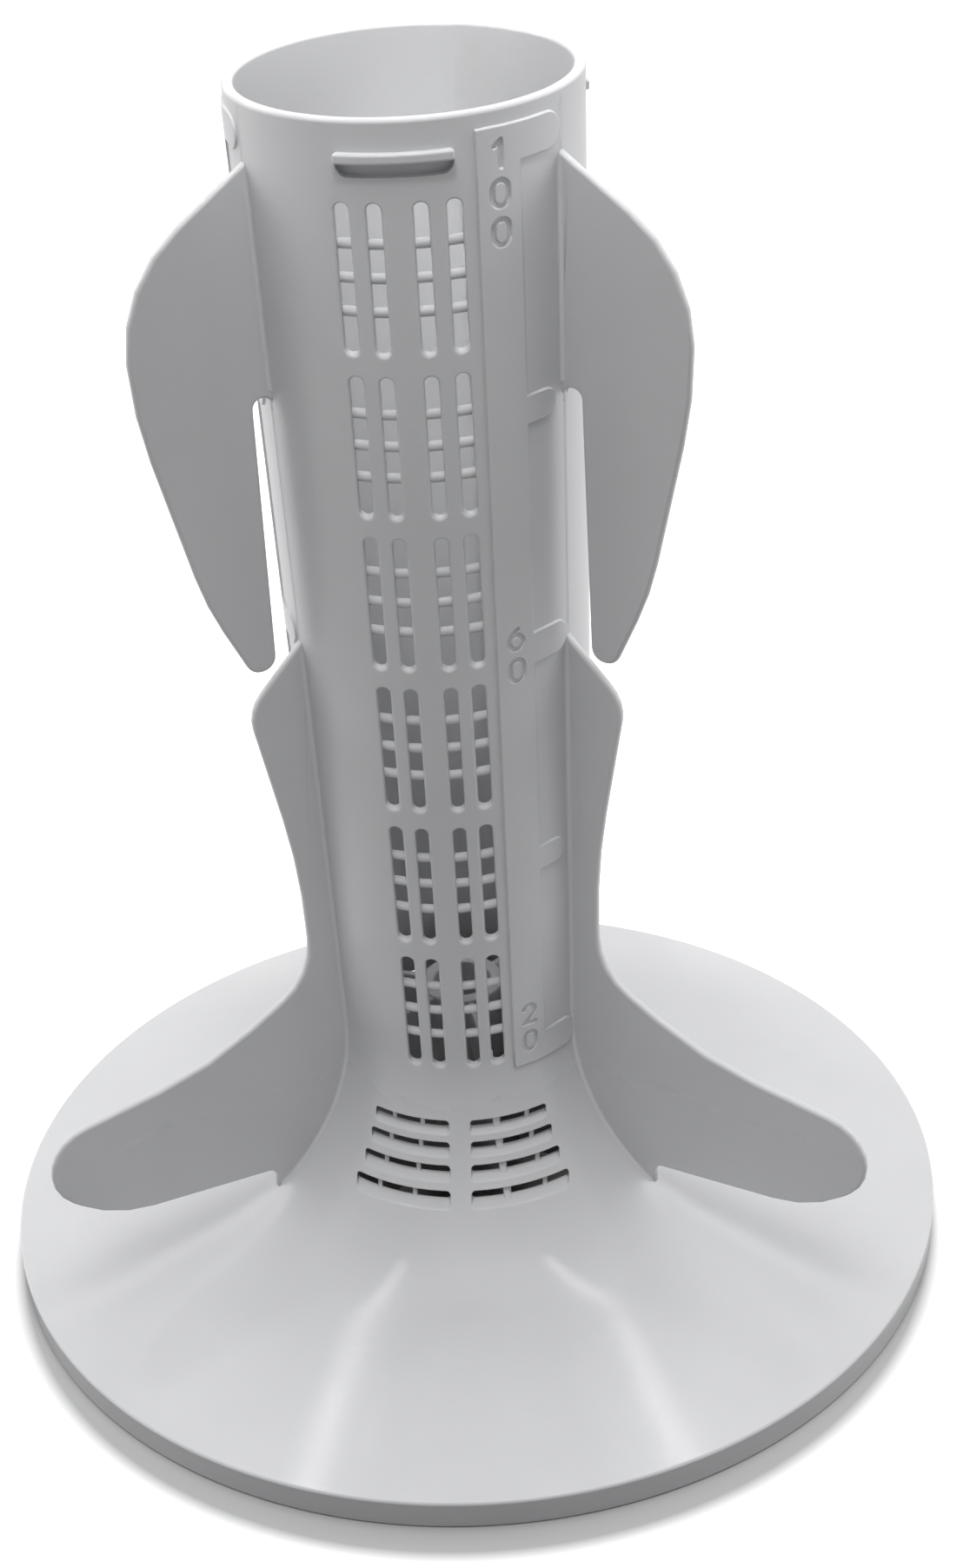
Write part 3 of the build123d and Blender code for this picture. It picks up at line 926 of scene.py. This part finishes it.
def lower_vane_loop():
    """Outline of the lower leaf, anticlockwise, its root along the column and the flare."""
    root = radius_at(LOWER_TOP)
    arc = FLARE_RADIUS + VANE_OVERLAP
    heel = acos((CENTRE_R - LOWER_HEEL[0]) / arc)
    corners = [(root, LOWER_TOP, 0), *LOWER_CORNERS, LOWER_HEEL]
    for k in range(9):
        a = heel + (-TILT - heel) * k / 8
        corners.append((CENTRE_R - arc * cos(a), CENTRE_Z - arc * sin(a), 0))
    corners.append((root - VANE_OVERLAP, LOWER_TOP, 0))
    return smooth_loop(list(reversed(corners)), 5.0)


def root_fillet(mesh, top, foot, side, bearing):
    """A small fillet between a vane and the wall, between two runs."""
    b = radians(bearing)
    ahead = around(b, 1, 0)
    across = Vector((cos(b), sin(b), 0)) * side
    rows = max(4, round((foot - top) / 4.0))
    runs = [top + (foot - top) * k / rows for k in range(rows + 1)]
    runs = sorted(runs + [top + 1.0, top + FILLET_FADE, foot - FILLET_FADE, foot - 1.0])
    sections, normals = [], []
    for run in runs:
        r, z, nr, nz = outline(run)
        fade = min(1.0, (run - top) / FILLET_FADE, (foot - run) / FILLET_FADE)
        size = ROOT_FILLET * (0.15 + 0.85 * sqrt(max(0.0, 1 - (1 - fade) ** 2)))
        out = ahead * nr + Vector((0, 0, nz))
        section, normal = [], []
        for t in (0, 22.5, 45, 67.5, 90):
            a = radians(t)
            y = VANE_THICKNESS / 2 + size * (1 - sin(a))
            lift = size * (1 - cos(a))
            section.append(ahead * sqrt(r * r - y * y) + Vector((0, 0, z)) + across * y + out * lift)
            normal.append(out * cos(a) + across * sin(a))
        y = VANE_THICKNESS / 2 - 0.4
        section.append(ahead * sqrt(r * r - y * y) + Vector((0, 0, z)) + across * y - out * 0.4)
        normal.append(-out)
        sections.append(section)
        normals.append(normal)
    bar_between(mesh, sections, normals)


def lathe(mesh, corners, count):
    """A closed ring turned round the axis, its section in radius and height, anticlockwise."""
    loop = smooth_loop(corners, 6.0)
    rings = []
    for k in range(count):
        b = 2 * pi * k / count
        rings.append([mesh.add(around(b, *place), around(b, *out)) for place, out in loop])
    mesh.tube(rings + rings[:1])


def hub(mesh):
    """The tube, the web with the bolt hole, the keyed socket and the webs that run out from them."""
    top = SOCKET_FOOT + SOCKET_DEPTH
    soft = 0.5
    web, head = top + BOLT_WEB, top + SOCKET_WALL
    lathe(mesh, [(HUB_BORE, web, soft), (BOLT_HOLE, web, soft), (BOLT_HOLE, top, soft),
                 (SOCKET_BORE, top, soft), (SOCKET_BORE, SOCKET_FOOT, soft),
                 (SOCKET_RADIUS, SOCKET_FOOT, 1.0), (SOCKET_RADIUS, head, 1.0), (HUB_RADIUS, head, soft),
                 (HUB_RADIUS, HUB_TOP, 0.8), (HUB_BORE, HUB_TOP, 0.8)], 64)
    near, far = SOCKET_BORE - KEY_DEPTH, SOCKET_BORE + 1.0
    for k in range(KEYS):
        loop = smooth_loop([(near, SOCKET_FOOT, 0.4), (far, SOCKET_FOOT, 0), (far, top + 0.5, 0),
                            (near, top + 0.5, 0)], 8.0)
        plate(mesh, loop, KEY_WIDTH, 0.4, 90.0 + 360.0 * k / KEYS)
    high = HUB_TOP - 1.0
    first = run_at(high, WALL / 2)
    last = FLARE_END + (WEB_REACH + WALL / 2 * sin(FALL) - SKIRT_START[0]) / cos(FALL)
    line = []
    for k in range(25):
        r, z, nr, nz = outline(first + (last - first) * k / 24)
        line.append((r - WALL / 2 * nr, z - WALL / 2 * nz, 0))
    inner = (HUB_RADIUS + HUB_BORE) / 2
    loop = smooth_loop([(inner, WEB_INNER_FOOT, 0), (WEB_REACH, WEB_OUTER_FOOT, 1.0), *reversed(line),
                        (inner, high, 0)], 12.0)
    for k in range(WEBS):
        plate(mesh, loop, WEB_THICKNESS, 0.5, WEB_BEARING + 360.0 / WEBS * k)


def moulding():
    """The whole agitator as one mesh."""
    mesh = face_skin()
    slot_bars(mesh)
    grille_ribs(mesh)
    ledge(mesh)
    for loop in (upper_vane_loop(), lower_vane_loop()):
        plate(mesh, loop, VANE_THICKNESS, VANE_ROUNDING, VANE_BEARING)
    heel = COLUMN_RUN + FLARE_RADIUS * (acos((CENTRE_R - LOWER_FILLET_RADIUS) / FLARE_RADIUS) + TILT)
    for side in (-1, 1):
        root_fillet(mesh, run_at(UPPER_FILLET[0]), run_at(UPPER_FILLET[1]), side, VANE_BEARING)
        root_fillet(mesh, run_at(LOWER_FILLET_TOP), heel, side, VANE_BEARING)
    mesh.turned_copies(FACES)
    hub(mesh)
    return mesh.build("agitator_moulding")


# Material


def plastic():
    """Off-white moulded plastic: faint mottling, a fine grain, ring marks of turning, a smooth skirt."""
    material = bpy.data.materials.new("moulded_plastic")
    material.use_nodes = True
    nodes, links = material.node_tree.nodes, material.node_tree.links
    shader = nodes["Principled BSDF"]
    place = nodes.new("ShaderNodeTexCoord").outputs["Object"]

    def noise(scale, detail):
        made = nodes.new("ShaderNodeTexNoise")
        made.inputs["Scale"].default_value = scale
        made.inputs["Detail"].default_value = detail
        links.new(place, made.inputs["Vector"])
        return made.outputs["Fac"]

    def bump(height, strength, distance, below=None):
        made = nodes.new("ShaderNodeBump")
        made.inputs["Strength"].default_value = strength
        made.inputs["Distance"].default_value = distance
        links.new(height, made.inputs["Height"])
        if below:
            links.new(below, made.inputs["Normal"])
        return made.outputs["Normal"]

    colour = nodes.new("ShaderNodeValToRGB")
    for stop, (position, shade) in zip(colour.color_ramp.elements, SHADES):
        stop.position = position
        stop.color = shade
    links.new(noise(14.0, 5.0), colour.inputs["Fac"])
    links.new(colour.outputs["Color"], shader.inputs["Base Color"])
    split = nodes.new("ShaderNodeSeparateXYZ")
    links.new(place, split.inputs["Vector"])
    gloss = nodes.new("ShaderNodeMapRange")
    gloss.inputs["From Min"].default_value, gloss.inputs["From Max"].default_value = GLOSS_HEIGHTS
    gloss.inputs["To Min"].default_value, gloss.inputs["To Max"].default_value = GLOSS_ROUGHNESS
    links.new(split.outputs["Z"], gloss.inputs["Value"])
    vary = nodes.new("ShaderNodeMath")
    vary.operation = "MULTIPLY_ADD"
    vary.inputs[1].default_value = 0.06
    links.new(noise(55.0, 4.0), vary.inputs[0])
    links.new(gloss.outputs["Result"], vary.inputs[2])
    links.new(vary.outputs["Value"], shader.inputs["Roughness"])
    rings = nodes.new("ShaderNodeTexWave")
    rings.wave_type = "RINGS"
    rings.rings_direction = "Z"
    rings.inputs["Scale"].default_value = 60.0
    rings.inputs["Distortion"].default_value = 1.2
    links.new(place, rings.inputs["Vector"])
    fine = bump(noise(900.0, 3.0), 0.05, 0.0002)
    turned = bump(rings.outputs["Fac"], 0.09, 0.00015, fine)
    broad = bump(noise(22.0, 2.0), 0.12, 0.0012, turned)
    links.new(broad, shader.inputs["Normal"])
    shader.inputs["IOR"].default_value = 1.49
    shader.inputs["Subsurface Weight"].default_value = 0.06
    shader.inputs["Subsurface Radius"].default_value = (1.0, 1.0, 1.0)
    shader.inputs["Subsurface Scale"].default_value = 0.002
    return material


# Studio


def maths(nodes, links, operation, first, second):
    """A node that works on two sockets."""
    made = nodes.new("ShaderNodeMath")
    made.operation = operation
    links.new(first, made.inputs[0])
    links.new(second, made.inputs[1])
    return made


def rays_that_see(nodes, links):
    """1 for camera, glossy and transmission rays, and 0 for the rest."""
    path = nodes.new("ShaderNodeLightPath")
    total = maths(nodes, links, "ADD", path.outputs["Is Camera Ray"], path.outputs["Is Glossy Ray"])
    either = maths(nodes, links, "ADD", total.outputs["Value"], path.outputs["Is Transmission Ray"])
    either.use_clamp = True
    return either.outputs["Value"]


def floor_plane():
    """A pale floor that glows white away from the part. Near its foot the glow fades out, which paints a
    shadow over the real one.
    """
    bpy.ops.mesh.primitive_plane_add(size=FLOOR_SIZE, location=FLOOR_PLACE)
    floor = bpy.context.object
    floor.name = "studio_floor"
    material = bpy.data.materials.new("studio_floor")
    material.use_nodes = True
    nodes, links = material.node_tree.nodes, material.node_tree.links
    shader = nodes["Principled BSDF"]
    shader.inputs["Roughness"].default_value = 0.8
    seen = nodes.new("ShaderNodeLightPath")
    paint = nodes.new("ShaderNodeMix")
    paint.data_type = "RGBA"
    paint.inputs["A"].default_value = FLOOR_BOUNCE
    paint.inputs["B"].default_value = FLOOR_SEEN
    links.new(seen.outputs["Is Camera Ray"], paint.inputs["Factor"])
    links.new(paint.outputs["Result"], shader.inputs["Base Color"])
    place = nodes.new("ShaderNodeTexCoord")
    away = nodes.new("ShaderNodeVectorMath")
    away.operation = "LENGTH"
    links.new(place.outputs["Object"], away.inputs[0])
    # painted shadow: the glow is none near the foot and rises to full over the ring, so the floor there shows
    # its grey, darker than its real shadow alone
    rise = nodes.new("ShaderNodeMapRange")
    rise.inputs["From Min"].default_value = PAINTED_SHADOW_RING[0] * BASE_RADIUS * MM
    rise.inputs["From Max"].default_value = PAINTED_SHADOW_RING[1] * BASE_RADIUS * MM
    links.new(away.outputs["Value"], rise.inputs["Value"])
    scale = maths(nodes, links, "MULTIPLY", rays_that_see(nodes, links), rise.outputs["Result"])
    glow = nodes.new("ShaderNodeEmission")
    links.new(scale.outputs["Value"], glow.inputs["Strength"])
    both = nodes.new("ShaderNodeAddShader")
    links.new(shader.outputs["BSDF"], both.inputs[0])
    links.new(glow.outputs["Emission"], both.inputs[1])
    links.new(both.outputs["Shader"], nodes["Material Output"].inputs["Surface"])
    floor.data.materials.append(material)


def surroundings():
    """A soft sky for the light, which looks white to the camera and in the gloss."""
    world = bpy.data.worlds.new("studio")
    world.use_nodes = True
    nodes, links = world.node_tree.nodes, world.node_tree.links
    soft = nodes["Background"]
    soft.inputs["Color"].default_value = (0.97, 0.98, 1.0, 1.0)
    soft.inputs["Strength"].default_value = WORLD_LEVEL
    white = nodes.new("ShaderNodeBackground")
    white.inputs["Color"].default_value = (1.0, 1.0, 1.0, 1.0)
    white.inputs["Strength"].default_value = 1.0
    mix = nodes.new("ShaderNodeMixShader")
    links.new(rays_that_see(nodes, links), mix.inputs[0])
    links.new(soft.outputs["Background"], mix.inputs[1])
    links.new(white.outputs["Background"], mix.inputs[2])
    links.new(mix.outputs["Shader"], nodes["World Output"].inputs["Surface"])
    bpy.context.scene.world = world


def lamp(name, place, target, size, level, spread=180, turn=None):
    """A soft lamp. At a level of 1, a surface at the target that faces it shows its own colour.
    Only a lamp with a turn, which hangs level, shows in the gloss."""
    aim = Vector(target) - Vector(place)
    data = bpy.data.lights.new(name, "AREA")
    data.shape = "RECTANGLE"
    data.size, data.size_y = size
    data.energy = level * pi ** 2 * aim.length_squared
    data.spread = radians(spread)
    item = bpy.data.objects.new(name, data)
    item.location = place
    item.visible_glossy = turn is not None
    if turn is not None:
        item.rotation_euler = (0.0, 0.0, radians(turn))
    elif aim.x or aim.y:
        item.rotation_euler = aim.to_track_quat("-Z", "Y").to_euler()
    bpy.context.collection.objects.link(item)


def lamps():
    """Soft light from above and in front, and from both sides with a long tube for the gloss."""
    for row in LAMPS:
        lamp(*row)
    middle = (0, 0, 0.2)
    for name, side, (tube_x, tube_y), turn, back, level in LAMP_PAIRS:
        tube = (tube_x, tube_y, TUBE_HEIGHT)
        lamp(name + "_tube", tube, (tube_x, tube_y, 0), TUBE_SIZE, TUBE_LEVEL, turn=turn)
        lamp(name + "_back_light", (1.5 * side, 0.7, 0.75), middle, (1.0, 1.2), back)
        lamp(name + "_light", (1.5 * side, -0.15, 0.5), middle, (0.8, 0.8), level)


def camera():
    """The photograph's own view."""
    spin = Matrix.Rotation(TURN, 3, "Z")
    ahead = spin @ Vector((sin(YAW) * cos(PITCH), cos(YAW) * cos(PITCH), -sin(PITCH)))
    level = ahead.cross(Vector((0, 0, 1))).normalized()
    up = level.cross(ahead)
    right = level * cos(ROLL) + up * sin(ROLL)
    top = up * cos(ROLL) - level * sin(ROLL)
    data = bpy.data.cameras.new("photo_camera")
    data.sensor_fit = "VERTICAL"
    data.sensor_height = SENSOR
    data.sensor_width = SENSOR * PHOTO_WIDTH / PHOTO_HEIGHT
    data.lens = SENSOR * FOCAL_LENGTH / PHOTO_HEIGHT
    data.shift_x = (PHOTO_WIDTH / 2 - MIDDLE[0]) / PHOTO_HEIGHT
    data.shift_y = (MIDDLE[1] - PHOTO_HEIGHT / 2) / PHOTO_HEIGHT
    data.clip_start = 0.01
    item = bpy.data.objects.new("photo_camera", data)
    place = spin @ Vector(CAMERA_PLACE)
    item.matrix_world = Matrix((
        (right.x, top.x, -ahead.x, place.x), (right.y, top.y, -ahead.y, place.y),
        (right.z, top.z, -ahead.z, place.z), (0, 0, 0, 1)))
    bpy.context.collection.objects.link(item)
    bpy.context.scene.camera = item


camera()
body = moulding()
body.data.materials.append(plastic())
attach(body, "root")
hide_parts("agitator")
floor_plane()
surroundings()
lamps()
bpy.context.scene.view_settings.view_transform = "Standard"
